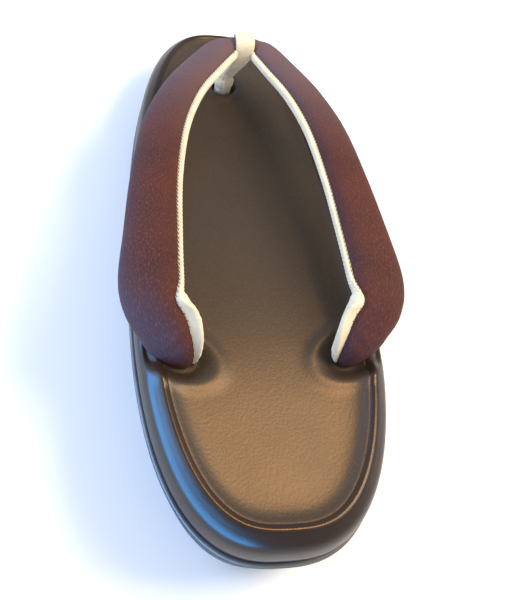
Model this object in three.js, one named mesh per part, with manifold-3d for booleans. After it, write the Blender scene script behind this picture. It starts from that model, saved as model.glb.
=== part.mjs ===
// A zori sandal: a black wedge outsole, a padded midsole with a raised rim, an inlaid insole, one
// pair of padded straps joined at the front, and the thong that holds them down between the toes.
// Millimetres. +Y runs from heel to toe, +X to the right and +Z up. The origin is on the floor,
// under the middle of the sole.
import * as THREE from 'three';
import { mergeVertices } from 'three/addons/utils/BufferGeometryUtils.js';
import Module from 'manifold-3d';

const wasm = await Module();
wasm.setup();

// Driving dimensions.
const LENGTH = 246;
const WIDTH = 84; // over the midsole; the outsole's lip stands a little wider
const WIDEST_Y = -22; // where the outline is widest
const ROUNDNESS = 2.65; // exponent of the outline: 2 is an ellipse, more is squarer
const HEEL_HEIGHT = 43; // top of the footbed above the floor
const BALL_HEIGHT = 28;
const SLOPE_START = -79; // the footbed falls from heel height to ball height over this run
const SLOPE_RUN = 140;
const GAP = 0.35; // left between pieces that touch

const INSOLE_THICK = 2.4;
const DISH = 1; // how far the middle of the footbed lies below its edge
const RIM_WIDTH = 7.6;
const RIM_RISE = 2.2; // the roll above the footbed's edge
const MIDSOLE_THICK = 12.5;
const LIP = 0.8; // how far the outsole's top edge stands out beyond the midsole
const LIP_HEIGHT = 2.5;
const UNDERCUT = 7; // how far the outsole's foot stands back
const SOLE_BEVEL = 1.5;

const TOE_DROP = 5; // the footbed's fall in front of the ball, as the square of the run
const TOE_DROP_START = 72;
const TOE_SPRING = 5;
const SPRING_START = 76;
const HEEL_LIFT = 1.5;
const HEEL_LIFT_START = -104;
const ARCH = { y: -14, halfRun: 24, rise: 1.6 };
const GROOVE = { width: 3, depth: 2.4, pitch: 11, margin: 17 };
const HEEL_GROOVES = [-98, -43]; // first and last groove
const BALL_GROOVES = [18, 73];

const ROUND_STEPS = 80; // points round the outline
const ARM_STEPS = 40;
const ARM_SIDES = 18;
const PAD_EXPONENT = 2.4; // squareness of the strap's section
const LINING_FLATNESS = 0.65; // the lined underside is this much as deep as the padded top

// The right arm of the straps, from the middle of the front to the end inside the sole. lean is the
// angle from upright of the padded face, towards the side that swing names: 0 is outward and
// positive turns towards the heel.
const ARM = [
  { x: 0.0, y: 82.8, z: 47.6, width: 7.4, thick: 6.2, lean: 18, swing: -80 },
  { x: 8.5, y: 81.0, z: 46.6, width: 13.2, thick: 7.9, lean: 18, swing: -56 },
  { x: 17.0, y: 68.0, z: 47.3, width: 15.2, thick: 8.6, lean: 18, swing: -32 },
  { x: 25.4, y: 50.1, z: 49.6, width: 15.7, thick: 9.2, lean: 17, swing: -20 },
  { x: 31.6, y: 27.0, z: 52.6, width: 16.0, thick: 9.7, lean: 14, swing: -10 },
  { x: 34.9, y: 0.0, z: 54.6, width: 16.4, thick: 10.1, lean: 11, swing: -5 },
  { x: 36.6, y: -26.0, z: 55.1, width: 17.8, thick: 10.6, lean: 10, swing: 0 },
  { x: 37.4, y: -42.0, z: 54.3, width: 19.3, thick: 11.0, lean: 15, swing: 6 },
  { x: 36.4, y: -50.4, z: 52.8, width: 18.8, thick: 11.2, lean: 33, swing: 32 },
  { x: 32.9, y: -56.6, z: 48.8, width: 17.6, thick: 11.1, lean: 54, swing: 54 },
  { x: 29.8, y: -60.9, z: 42.6, width: 16.6, thick: 10.8, lean: 76, swing: 64 },
  { x: 28.6, y: -62.6, z: 34.0, width: 15.4, thick: 10.2, lean: 88, swing: 66 },
];
// The slack straps lean to the right: the sideways shift grows as the square of the run forward.
const SWAY = { most: 6, startY: -20, endY: 84 };

// The thong's loop seen from the side, from its foot up behind the straps and down before them. It
// leans with the straps between the two heights of LOOP_LEAN.
const LOOP = [
  { y: 80.6, z: 33.0, width: 5.2, thick: 2.4 },
  { y: 78.4, z: 39.6, width: 5.6, thick: 2.2 },
  { y: 77.4, z: 46.4, width: 7.0, thick: 1.9 },
  { y: 78.6, z: 51.2, width: 8.0, thick: 1.8 },
  { y: 82.8, z: 52.4, width: 8.2, thick: 1.8 },
  { y: 87.0, z: 50.8, width: 8.0, thick: 1.8 },
  { y: 88.5, z: 46.2, width: 7.0, thick: 1.9 },
  { y: 86.0, z: 39.4, width: 5.6, thick: 2.2 },
];
const LOOP_LEAN = { bottom: 30, top: 48 };
const STEM = { y: 80.6, bottom: 16.5, foot: 3.6, collar: 4.1, collarZ: 30.5, neck: 2.9, neckZ: 34, top: 36 };

const COLOUR = { rubber: 0x141414, leather: 0x5b4a3e, footbed: 0x7d6753, crepe: 0x6a3a33, cream: 0xeadfbf };

const degrees = Math.PI / 180;

function smooth(t) {
  const u = Math.min(Math.max(t, 0), 1);
  return u * u * (3 - 2 * u);
}

function signedPower(value, power) {
  return Math.sign(value) * Math.abs(value) ** power;
}

// The outline is two half superellipses that meet at the widest place. inset moves the point
// inward, square to the outline.
function outline(angle, inset) {
  const c = Math.cos(angle);
  const s = Math.sin(angle);
  const reach = s > 0 ? LENGTH / 2 - WIDEST_Y : LENGTH / 2 + WIDEST_Y;
  const u = signedPower(c, 2 / ROUNDNESS);
  const v = signedPower(s, 2 / ROUNDNESS);
  const normal = new THREE.Vector2(
    signedPower(u, ROUNDNESS - 1) / (WIDTH / 2),
    signedPower(v, ROUNDNESS - 1) / reach,
  ).normalize();
  return new THREE.Vector2((u * WIDTH) / 2, WIDEST_Y + v * reach).addScaledVector(normal, -inset);
}

function footbed(y) {
  const toe = Math.max(0, (y - TOE_DROP_START) / (LENGTH / 2 - TOE_DROP_START));
  const slope = (BALL_HEIGHT - HEEL_HEIGHT) * smooth((y - SLOPE_START) / SLOPE_RUN);
  return HEEL_HEIGHT + slope - TOE_DROP * toe ** 2;
}

function sway(y) {
  return SWAY.most * Math.max(0, (y - SWAY.startY) / (SWAY.endY - SWAY.startY)) ** 2;
}

function underside(y) {
  const toe = Math.max(0, (y - SPRING_START) / (LENGTH / 2 - SPRING_START));
  const heel = Math.max(0, (HEEL_LIFT_START - y) / (LENGTH / 2 + HEEL_LIFT_START));
  return TOE_SPRING * toe ** 2 + HEEL_LIFT * heel ** 2;
}

function meshGeometry(positions, triangles) {
  const geometry = new THREE.BufferGeometry();
  geometry.setAttribute('position', new THREE.Float32BufferAttribute(positions, 3));
  geometry.setIndex(triangles);
  return geometry;
}

// A closed skin through a stack of rings, each a scaled and inset copy of the outline with its own
// height over the length. It starts at the middle of the top and ends at the middle of the bottom.
function ringStack(levels) {
  const positions = [0, WIDEST_Y, levels[0].height(WIDEST_Y)];
  for (const { inset, scale = 1, height } of levels) {
    for (let i = 0; i < ROUND_STEPS; i++) {
      const point = outline((2 * Math.PI * i) / ROUND_STEPS, inset);
      const y = WIDEST_Y + (point.y - WIDEST_Y) * scale;
      positions.push(point.x * scale, y, height(y));
    }
  }
  positions.push(0, WIDEST_Y, levels.at(-1).height(WIDEST_Y));
  const at = (ring, i) => 1 + ring * ROUND_STEPS + (i % ROUND_STEPS);
  const bottom = 1 + levels.length * ROUND_STEPS;
  const triangles = [];
  for (let i = 0; i < ROUND_STEPS; i++) {
    triangles.push(0, at(0, i), at(0, i + 1));
    for (let ring = 0; ring < levels.length - 1; ring++) {
      triangles.push(at(ring, i), at(ring + 1, i), at(ring + 1, i + 1));
      triangles.push(at(ring, i), at(ring + 1, i + 1), at(ring, i + 1));
    }
    triangles.push(at(levels.length - 1, i), bottom, at(levels.length - 1, i + 1));
  }
  return meshGeometry(positions, triangles);
}

// A closed skin through rings of points: closed on itself, or capped flat at both ends.
function loft(rings, closed = false) {
  const sides = rings[0].length;
  const positions = rings.flat().flatMap((point) => point.toArray());
  const triangles = [];
  const spans = closed ? rings.length : rings.length - 1;
  for (let ring = 0; ring < spans; ring++) {
    const here = ring * sides;
    const next = ((ring + 1) % rings.length) * sides;
    for (let i = 0; i < sides; i++) {
      const j = (i + 1) % sides;
      triangles.push(here + i, here + j, next + j, here + i, next + j, next + i);
    }
  }
  if (!closed) {
    const last = (rings.length - 1) * sides;
    for (let i = 1; i < sides - 1; i++) {
      triangles.push(0, i + 1, i, last, last + i, last + i + 1);
    }
  }
  return meshGeometry(positions, triangles);
}

// Every column of a table, run through by a Catmull-Rom curve; t counts rows.
function between(rows, t, closed = false) {
  const count = rows.length;
  const pick = (i) => rows[closed ? (i + count) % count : Math.min(Math.max(i, 0), count - 1)];
  const i = Math.min(Math.floor(t), closed ? count - 1 : count - 2);
  const f = t - i;
  const [before, from, to, after] = [pick(i - 1), pick(i), pick(i + 1), pick(i + 2)];
  const row = {};
  for (const column of Object.keys(from)) {
    const [a, b, c, d] = [before[column], from[column], to[column], after[column]];
    row[column] = b + 0.5 * f * (c - a + f * (2 * a - 5 * b + 4 * c - d + f * (3 * (b - c) + d - a)));
  }
  return row;
}

// One section of the padded strap: a superellipse whose lined underside is flatter than its top.
function padSection(centre, across, outward, width, thick) {
  const ring = [];
  for (let i = 0; i < ARM_SIDES; i++) {
    const angle = (2 * Math.PI * i) / ARM_SIDES;
    const u = (signedPower(Math.sin(angle), 2 / PAD_EXPONENT) * width) / 2;
    const rise = (signedPower(Math.cos(angle), 2 / PAD_EXPONENT) * thick) / 2;
    const v = rise < 0 ? rise * LINING_FLATNESS : rise;
    ring.push(centre.clone().addScaledVector(across, u).addScaledVector(outward, v));
  }
  return ring;
}

// side is 1 for the right arm and -1 for the left; swell thickens it all round and at its end.
function armGeometry(side, swell) {
  const rings = [];
  const nudge = 0.01;
  const place = (row) => new THREE.Vector3(row.x, row.y, row.z);
  for (let step = 0; step <= ARM_STEPS; step++) {
    const t = ((ARM.length - 1) * step) / ARM_STEPS;
    const row = between(ARM, t);
    const along = place(between(ARM, t + nudge)).sub(place(between(ARM, t - nudge))).normalize();
    const lean = row.lean * degrees;
    const swing = row.swing * degrees;
    const outward = new THREE.Vector3(
      Math.sin(lean) * Math.cos(swing),
      -Math.sin(lean) * Math.sin(swing),
      Math.cos(lean),
    );
    outward.addScaledVector(along, -outward.dot(along)).normalize();
    const across = new THREE.Vector3().crossVectors(along, outward);
    const centre = place(row).addScaledVector(along, step === ARM_STEPS ? swell : 0);
    const grown = 2 * swell;
    const ring = padSection(centre, across, outward, row.width + grown, row.thick + grown);
    for (const point of ring) {
      point.x = side * point.x + sway(row.y);
    }
    rings.push(side > 0 ? ring : ring.reverse());
  }
  return loft(rings);
}

function loopGeometry() {
  const rings = [];
  const steps = 40;
  const nudge = 0.01;
  const leaning = (z) => SWAY.most * smooth((z - LOOP_LEAN.bottom) / (LOOP_LEAN.top - LOOP_LEAN.bottom));
  const place = (row) => new THREE.Vector3(leaning(row.z), row.y, row.z);
  for (let step = 0; step < steps; step++) {
    const t = (LOOP.length * step) / steps;
    const row = between(LOOP, t, true);
    const ahead = between(LOOP, t + nudge, true);
    const along = place(ahead).sub(place(row)).normalize();
    const outward = new THREE.Vector3(0, -along.z, along.y).normalize();
    const across = new THREE.Vector3(1, 0, 0);
    const ring = [];
    for (const [u, v] of [[-0.5, -0.3], [-0.3, -0.5], [0.3, -0.5], [0.5, -0.3],
      [0.5, 0.3], [0.3, 0.5], [-0.3, 0.5], [-0.5, 0.3]]) {
      ring.push(place(row).addScaledVector(across, u * row.width).addScaledVector(outward, v * row.thick));
    }
    rings.push(ring.reverse());
  }
  return loft(rings, true);
}

function stemGeometry() {
  const profile = [
    [0, STEM.bottom], [STEM.foot, STEM.bottom], [STEM.foot, STEM.collarZ - 3], [STEM.collar, STEM.collarZ],
    [STEM.collar - 0.3, STEM.collarZ + 1.5], [STEM.neck, STEM.neckZ], [STEM.neck - 1, STEM.top], [0, STEM.top],
  ];
  const points = profile.map(([radius, z]) => new THREE.Vector2(radius, z));
  const geometry = new THREE.LatheGeometry(points, 20);
  return geometry.rotateX(Math.PI / 2).translate(0, STEM.y, 0);
}

function solid(geometry) {
  const bare = geometry.clone();
  bare.deleteAttribute('normal');
  bare.deleteAttribute('uv');
  const merged = mergeVertices(bare, 1e-4);
  return new wasm.Manifold(new wasm.Mesh({
    numProp: 3,
    vertProperties: new Float32Array(merged.attributes.position.array),
    triVerts: new Uint32Array(merged.index.array),
  }));
}

function node(name, body, colour, roughness) {
  const { vertProperties, triVerts } = body.getMesh();
  const geometry = meshGeometry(Array.from(vertProperties), Array.from(triVerts));
  const material = new THREE.MeshStandardMaterial({ color: colour, roughness, metalness: 0 });
  const mesh = new THREE.Mesh(geometry, material);
  mesh.name = name;
  return mesh;
}

function midsoleBlank() {
  const over = (rise) => (y) => footbed(y) + rise;
  const floor = over(-INSOLE_THICK - GAP - DISH);
  const bottom = over(-MIDSOLE_THICK);
  return solid(ringStack([
    { inset: RIM_WIDTH, scale: 0.35, height: floor },
    { inset: RIM_WIDTH, scale: 0.7, height: floor },
    { inset: RIM_WIDTH, height: floor },
    { inset: RIM_WIDTH, height: over(-0.3) },
    { inset: RIM_WIDTH - 0.7, height: over(RIM_RISE * 0.85) },
    { inset: RIM_WIDTH - 1.5, height: over(RIM_RISE) },
    { inset: RIM_WIDTH - 2.8, height: over(RIM_RISE * 0.83) },
    { inset: 3.2, height: over(0.65) },
    { inset: 1.7, height: over(-1) },
    { inset: 0.65, height: over(-3.5) },
    { inset: 0.15, height: over(-6) },
    { inset: 0, height: over(-8.5) },
    { inset: 0.5, height: bottom },
    { inset: 2, scale: 0.7, height: bottom },
    { inset: 2, scale: 0.35, height: bottom },
  ]));
}

function insoleBlank() {
  const top = (drop) => (y) => footbed(y) - drop;
  const bottom = top(INSOLE_THICK + DISH);
  const inset = RIM_WIDTH + GAP;
  return solid(ringStack([
    { inset, scale: 0.35, height: top(DISH) },
    { inset, scale: 0.7, height: top(DISH * 0.85) },
    { inset: inset + 4, height: top(DISH * 0.55) },
    { inset: inset + 0.6, height: top(0) },
    { inset, height: top(0.5) },
    { inset, height: bottom },
    { inset, scale: 0.7, height: bottom },
    { inset, scale: 0.35, height: bottom },
  ]));
}

function outsoleBlank() {
  const top = (y) => footbed(y) - MIDSOLE_THICK - GAP;
  const under = (drop) => (y) => top(y) - drop;
  const wall = (f) => (y) => underside(y) + f * (top(y) - underside(y));
  const foot = UNDERCUT + SOLE_BEVEL;
  return solid(ringStack([
    { inset: 2, scale: 0.35, height: top },
    { inset: 2, scale: 0.7, height: top },
    { inset: 0.5, height: top },
    { inset: -LIP, height: under(0.6) },
    { inset: -LIP, height: under(LIP_HEIGHT) },
    { inset: UNDERCUT * 0.2, height: wall(0.6) },
    { inset: UNDERCUT * 0.6, height: wall(0.3) },
    { inset: UNDERCUT, height: (y) => underside(y) + SOLE_BEVEL },
    { inset: foot, height: underside },
    { inset: foot, scale: 0.7, height: underside },
    { inset: foot, scale: 0.35, height: underside },
  ]));
}

function halfWidth(y) {
  const reach = y > WIDEST_Y ? LENGTH / 2 - WIDEST_Y : LENGTH / 2 + WIDEST_Y;
  return (WIDTH / 2) * (1 - Math.abs((y - WIDEST_Y) / reach) ** ROUNDNESS) ** (1 / ROUNDNESS);
}

function grooves([first, last]) {
  let cuts = null;
  for (let y = first; y <= last; y += GROOVE.pitch) {
    const span = 2 * (halfWidth(y) - GROOVE.margin);
    const bar = new THREE.BoxGeometry(span, GROOVE.width, 2 * GROOVE.depth).translate(0, y, 0);
    const cut = solid(bar);
    cuts = cuts ? cuts.add(cut) : cut;
  }
  return cuts;
}

function archCut() {
  const radius = (ARCH.halfRun ** 2 + ARCH.rise ** 2) / (2 * ARCH.rise);
  const roller = new THREE.CylinderGeometry(radius, radius, 2 * WIDTH, 240);
  roller.rotateZ(Math.PI / 2).translate(0, ARCH.y, ARCH.rise - radius);
  return solid(roller);
}

function arms(swell) {
  return solid(armGeometry(1, swell)).add(solid(armGeometry(-1, swell)));
}

// Room for the stem, from just under its foot up through the footbed.
function stemHole() {
  const radius = STEM.collar + GAP;
  const depth = 40;
  const drill = new THREE.CylinderGeometry(radius, radius, depth, 24);
  return solid(drill.rotateX(Math.PI / 2).translate(0, STEM.y, STEM.bottom - GAP + depth / 2));
}

const strapRoom = arms(GAP);
const stemRoom = stemHole();
const straps = arms(0);
const outsole = outsoleBlank()
  .subtract(grooves(HEEL_GROOVES))
  .subtract(grooves(BALL_GROOVES))
  .subtract(archCut());
const midsole = midsoleBlank().subtract(strapRoom).subtract(stemRoom);
const insole = insoleBlank().subtract(strapRoom).subtract(stemRoom);
const thong = solid(loopGeometry()).add(solid(stemGeometry())).subtract(strapRoom);

const zori = new THREE.Group();
zori.add(node('outsole', outsole, COLOUR.rubber, 0.85));
zori.add(node('midsole', midsole, COLOUR.leather, 0.45));
zori.add(node('insole', insole, COLOUR.footbed, 0.6));
zori.add(node('straps', straps, COLOUR.crepe, 0.9));
zori.add(node('thong', thong, COLOUR.cream, 0.85));

export default zori;
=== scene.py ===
"""Looks of a zori sandal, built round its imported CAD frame.

A black foam outsole, a midsole whose brown leatherette cover rolls up into a rim, a pebbled footbed,
two padded crepe straps lined with cream cotton and whip-stitched along the inner edge, and the cream
thong that holds them down at the front. Metres and radians. +Y runs from heel to toe, +Z up.
"""

import bpy
import numpy as np
from bpy.props import FloatProperty, FloatVectorProperty, PointerProperty
from mathutils import Euler, Matrix, Vector


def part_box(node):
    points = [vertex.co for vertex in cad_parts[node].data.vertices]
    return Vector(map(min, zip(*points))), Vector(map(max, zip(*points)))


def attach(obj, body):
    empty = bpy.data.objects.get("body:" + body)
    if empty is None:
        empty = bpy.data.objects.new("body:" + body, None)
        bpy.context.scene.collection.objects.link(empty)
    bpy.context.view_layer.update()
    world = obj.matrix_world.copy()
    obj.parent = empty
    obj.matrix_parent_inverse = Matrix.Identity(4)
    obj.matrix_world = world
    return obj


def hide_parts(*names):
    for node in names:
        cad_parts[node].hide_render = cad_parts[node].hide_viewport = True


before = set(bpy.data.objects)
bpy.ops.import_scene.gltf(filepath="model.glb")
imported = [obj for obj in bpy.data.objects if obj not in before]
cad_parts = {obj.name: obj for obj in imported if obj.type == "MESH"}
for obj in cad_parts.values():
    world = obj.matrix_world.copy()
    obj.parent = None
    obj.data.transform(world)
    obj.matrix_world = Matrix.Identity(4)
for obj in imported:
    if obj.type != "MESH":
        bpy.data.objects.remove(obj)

bl_info = {
    "name": "Zori sandal",
    "version": (1, 0, 0),
    "blender": (4, 5, 0),
    "location": "3D View > Sidebar > Zori",
    "description": "Builds the sole, footbed, padded straps and thong of one zori sandal",
    "category": "Add Mesh",
}

MM = 0.001
DEGREE = np.pi / 180
NUDGE = 0.01  # step in row number that gives a curve's direction
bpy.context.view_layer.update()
MIDSOLE_LOW, MIDSOLE_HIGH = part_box("midsole")
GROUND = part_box("outsole")[0].z

# The outline: two half superellipses that meet at the widest place.
WIDEST_Y = -22 * MM
ROUNDNESS = 2.65
SIDE_STEPS = 360  # mesh steps down each side

# The side view: the footbed falls from heel height to ball height over the slope's run, and the
# underside lifts at the toe, at the heel and in the arch.
SLOPE_START, SLOPE_RUN = -79 * MM, 140 * MM
MIDSOLE_THICK = 12.5 * MM
JOIN_GAP = 0.35 * MM
TOE_DROP_START, TOE_DROP = 72 * MM, 5 * MM
SPRING_START, TOE_SPRING = 76 * MM, 5 * MM
HEEL_LIFT_START, HEEL_LIFT = -104 * MM, 1.5 * MM
ARCH_Y, ARCH_HALF_RUN, ARCH_RISE = -14 * MM, 24 * MM, 1.6 * MM

# The tread: grooves in a heel band and a ball band, each from its first groove to its last.
GROOVE_WIDTH, GROOVE_DEPTH, GROOVE_MARGIN, GROOVE_EDGE = 3 * MM, 2.4 * MM, 17 * MM, 0.8 * MM
GROOVE_BANDS = ((-98 * MM, -43 * MM), (18 * MM, 73 * MM))

# The midsole's cover, from under the footbed's edge, up the crease, over the roll and down the outer
# wall. Columns: inset from the outline, rise above the footbed.
RIM_PROFILE = MM * np.array([
    (8.2, -3.7), (8.0, 0.0), (7.8, 0.9), (7.5, 1.38), (7.0, 1.74), (6.4, 2.02), (5.8, 2.15), (5.2, 2.0),
    (4.5, 1.55), (3.6, 0.8), (2.6, -0.1), (1.75, -1.05), (1.1, -2.2), (0.6, -3.7), (0.2, -6.0),
    (0.0, -8.5), (0.2, -11.0), (0.6, -12.5),
])
# The footbed's edge, from its dished middle up the cove to the crease and down inside the midsole.
# Columns: as above.
INSOLE_PROFILE = MM * np.array([
    (16.5, 0.0), (13.5, 0.08), (11.2, 0.3), (9.6, 0.7), (8.6, 1.1), (8.0, 1.32), (7.6, 1.42),
    (7.3, 1.45), (7.1, 1.2), (7.1, 0.0), (7.7, -3.0),
])
# The outsole's lip. Columns: inset, drop below the outsole's top.
LIP_PROFILE = MM * np.array([
    (1.2, 0.0), (0.2, 0.0), (-0.45, 0.1), (-0.8, 0.5), (-0.85, 1.3), (-0.8, 2.2), (-0.4, 2.7),
])
# The outsole's wall. Columns: inset, share of the lip's height over the ground that is left.
WALL_PROFILE = np.array([
    (0.2, 0.85), (1.5, 0.6), (2.9, 0.42), (4.4, 0.27), (5.9, 0.14), (6.9, 0.07), (7.9, 0.015), (8.6, 0.0),
]) * np.array([MM, 1])

# Where each strap end goes into the footbed: an oval with its long axis turned from +X, a moat round
# it and a bank round that.
MOUTH_X, MOUTH_Y, MOUTH_TURN = 30.0 * MM, -62.0 * MM, 26 * DEGREE
MOUTH_HALF_LONG, MOUTH_HALF_SHORT = 8.2 * MM, 5.2 * MM
MOAT_REACH = 2.3 * MM
BANK_HEIGHT, BANK_OUT, BANK_REACH = 0.6 * MM, 4.8 * MM, 2 * MM

# The pit that the thong comes out of, and the bank round it.
PIT_DEPTH, PIT_RADIUS, PIT_WALL = 3.2 * MM, 6.2 * MM, 2.2 * MM
PIT_BANK_HEIGHT, PIT_BANK_RADIUS, PIT_BANK_REACH = 0.35 * MM, 8 * MM, 2.4 * MM

# The dish's border, and the hollows worn by heel and ball. Columns: y, depth, reach.
DISH_INSET = 8 * MM
WORN = MM * np.array([(-82, 0.5, 24), (42, 0.4, 26)])

# The right strap arm, from the middle of the front to its end inside the sole. lean is the padded
# face's angle from upright, towards the side that swing names: 0 is outward, more is heelward.
# Columns: x, y, z, width, thickness, lean, swing.
ARM = np.array([
    (0.0, 82.8, 47.6, 7.4, 6.2, 18, -80),
    (8.5, 81.0, 46.6, 13.2, 7.9, 18, -56),
    (17.0, 68.0, 47.3, 15.2, 8.6, 18, -32),
    (25.4, 50.1, 49.6, 15.7, 9.2, 17, -20),
    (31.6, 27.0, 52.6, 16.0, 9.7, 14, -10),
    (34.9, 0.0, 54.6, 16.4, 10.1, 11, -5),
    (36.6, -26.0, 55.1, 17.8, 10.6, 10, 0),
    (37.4, -42.0, 54.3, 19.3, 11.0, 15, 6),
    (36.4, -50.4, 52.8, 18.8, 11.2, 33, 32),
    (32.9, -56.6, 48.8, 17.6, 11.1, 54, 54),
    (29.8, -60.9, 42.6, 16.6, 10.8, 76, 64),
    (28.6, -62.6, 34.0, 15.4, 10.2, 88, 66),
]) * np.array([MM] * 5 + [DEGREE] * 2)
# The slack straps lean to the right: the shift grows as the square of the run forward.
SWAY, SWAY_START, SWAY_END = 6 * MM, -20 * MM, 84 * MM
ARM_STEPS, PAD_SIDES = 620, 72  # mesh steps along an arm and round its pad
PAD_EXPONENT = 2.4
PAD_RADIUS = 7.5 * MM  # turns angles round a pad into lengths on its cloth
LINING_FLATNESS = 0.65
# Rows of ARM over which a strap end gets slimmer, and by what share of its girth.
TAPER_START, TAPER_RUN, TAPER = 9.3, 1.0, 0.18
# The lining's inner border, as an angle round the strap, and how far it turns up at the bend.
BORDER, KINK, KINK_ROW, KINK_RUN = 86 * DEGREE, 17 * DEGREE, 8.3, 0.42
KINK_FADE = 40 * DEGREE  # how far round the lining the turn dies out

# Folds of the crepe, as soft troughs. Columns: row of ARM, angle round the section, half length and
# half width, depth, turn from the strap's length.
FOLDS = np.array([
    (7.60, 64, 6.0, 1.6, 0.35, 70),
    (8.05, 72, 5.5, 1.4, 0.45, 84),
    (8.50, 58, 6.0, 1.5, 0.3, 98),
    (9.00, 24, 5.5, 1.5, 0.2, 100),
    (9.50, 48, 4.5, 1.2, 0.3, 108),
    (6.60, 70, 7.0, 1.9, 0.15, 58),
    (1.10, 40, 5.0, 1.4, 0.35, 75),
    (0.80, -20, 5.0, 1.4, 0.4, 84),
]) * np.array([1, DEGREE, MM, MM, MM, DEGREE])

# The lining's section. Columns: angle round the strap, height over the pad, and the shares of the
# border's standing lip and of the broad leaf at the bend that are added to it.
LINING_SECTION = np.array([
    (84.0, -0.5, 0.0, 0.0), (85.0, 0.1, 0.3, 0.3), (86.0, 0.15, 0.85, 0.9), (91.0, 0.1, 1.0, 1.0),
    (98.0, 0.1, 1.0, 0.55), (112.0, 0.15, 0.85, 0.15), (132.0, 0.4, 0.4, 0.0), (160.0, 0.45, 0.05, 0.0),
    (200.0, 0.45, 0.0, 0.0), (240.0, 0.45, 0.0, 0.0), (262.0, 0.45, 0.0, 0.0), (272.0, -0.5, 0.0, 0.0),
]) * np.array([DEGREE, MM, 1, 1])
LEAF = 1.9 * MM  # a lip that stands out further than this is the leaf
LINING_START, LINING_END_ROW = 1.5 * MM, 10.4
LINING_WIDTH, LINING_BACK = 30 * MM, 0.9 * MM  # its flat width, and how deep its back lies in the pad
# How far the lip stands out. Columns: row of ARM, millimetres.
LIP_TABLE = np.array([
    (0.0, 1.0), (1.0, 2.1), (2.0, 2.5), (3.0, 2.3), (5.0, 1.7), (7.0, 1.3), (8.0, 1.2), (8.3, 2.0),
    (8.7, 3.9), (9.1, 4.2), (9.6, 3.4), (10.0, 2.2), (10.4, 0.8), (11.0, 0.4),
])

# The whip stitches run between two rows of ARM. Each slants along the strap by a share of the pitch,
# and reaches round it from the crepe to a little short of the border. It arches, and climbs by a
# share of the lip. The stitches pucker the crepe, draw the lip in, and hold it up to a height.
STITCH_FIRST_ROW, STITCH_LAST_ROW = 0.7, 9.5
STITCH_SLANT, STITCH_REACH, STITCH_SHORT = 0.5, 6 * DEGREE, 0.48 * DEGREE
STITCH_LIFT, STITCH_ARCH, STITCH_CLIMB = 0.02 * MM, 0.12 * MM, 0.22
PUCKER_REACH, LIP_DRAW, LIP_HELD = 2.2 * MM, 0.18 * MM, 1.4 * MM

# The thong's loop seen from the side, up behind the straps and down before them. Between two heights
# it leans over with the straps. Columns: y, z, width, thickness.
LOOP = MM * np.array([
    (80.6, 33.0, 5.2, 2.4), (78.4, 39.6, 5.6, 2.2), (77.4, 46.4, 7.0, 1.9), (78.6, 51.2, 8.0, 1.8),
    (82.8, 52.4, 8.2, 1.8), (87.0, 50.8, 8.0, 1.8), (88.5, 46.2, 7.0, 1.9), (86.0, 39.4, 5.6, 2.2),
])
LOOP_LEAN_BOTTOM, LOOP_LEAN_TOP = 30 * MM, 48 * MM
LOOP_ROW_RUN = 9 * MM  # length of cloth from one row to the next
# The stem and its ribbed collar. Columns: radius, height.
STEM_Y = 80.6 * MM
STEM_RIBS, STEM_RIB_DEPTH = 12, 0.025  # the depth is a share of the radius
STEM_PROFILE = MM * np.array([
    (0.4, 17.0), (3.4, 17.2), (3.6, 24.0), (3.7, 27.6), (4.15, 29.0), (4.3, 30.4), (3.9, 31.9),
    (3.1, 32.9), (2.9, 34.4), (2.2, 35.7), (0.4, 36.0),
])

FLOOR_HALF = 3.0  # half of its side
ROOM_STRENGTH = 0.8  # brightness of the white room
# Area lights. Columns: name, place, aim, width and height, power, colour, whether it lights matt surfaces.
LIGHTS = (
    ("key", (0.50, -0.05, 0.60), (0, 0, 0.03), (0.35, 0.35), 6.4, "#fff0dc", True),
    ("sky", (-0.55, 0.12, 0.36), (0, 0, 0.03), (0.6, 0.5), 5.0, "#abccff", True),
    ("window", (-0.175, -0.175, 0.055), (0, -0.07, 0.055), (0.56, 0.105), 5.2, "#4ba6f5", False),
    ("glow", (0.19, 0.07, 0.64), (0.01, -0.10, 0.04), (0.16, 0.16), 5.6, "#ffb866", False),
)
CAMERA_PLACE, CAMERA_LENS, CAMERA_SHIFT = (-0.050, -0.1608, 0.2329), 41.16, (0.05, -0.05)
# The camera looks to the right of the toe's way and down, and is rolled.
CAMERA_HEADING, CAMERA_BELOW, CAMERA_ROLL = 17.99 * DEGREE, 54.3 * DEGREE, 15.59 * DEGREE


def linear(code):
    """An sRGB hex colour as linear red, green, blue and alpha."""
    parts = [int(code[i : i + 2], 16) / 255 for i in (1, 3, 5)]
    return [c / 12.92 if c <= 0.04045 else ((c + 0.055) / 1.055) ** 2.4 for c in parts] + [1.0]


def length(name, millimetres, description):
    """A property for a size, held in metres."""
    return FloatProperty(
        name=name, description=description, default=millimetres * MM, min=0, unit="LENGTH", precision=5
    )


def colour(name, code, description):
    """A property for a colour, given as sRGB hex."""
    return FloatVectorProperty(
        name=name, description=description, default=linear(code), size=4, min=0, max=1, subtype="COLOR"
    )


class ZoriSole(bpy.types.PropertyGroup):
    """Sizes of the sole and the footbed."""

    length: length("Length", (MIDSOLE_HIGH.y - MIDSOLE_LOW.y) / MM, "Heel to toe over the midsole")
    width: length("Width", (MIDSOLE_HIGH.x - MIDSOLE_LOW.x) / MM, "Across the midsole at its widest")
    heel_height: length("Heel height", MIDSOLE_HIGH.z / MM - 2.2, "Top of the footbed at the heel")
    ball_height: length("Ball height", 28, "Top of the footbed at the ball")
    dish: length("Dish", 1, "How far the middle of the footbed lies below its edge")
    mouth_depth: length("Mouth depth", 2.2, "How deep each strap end presses into the footbed")
    groove_pitch: length("Groove pitch", 11, "From one groove of the tread to the next")


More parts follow.
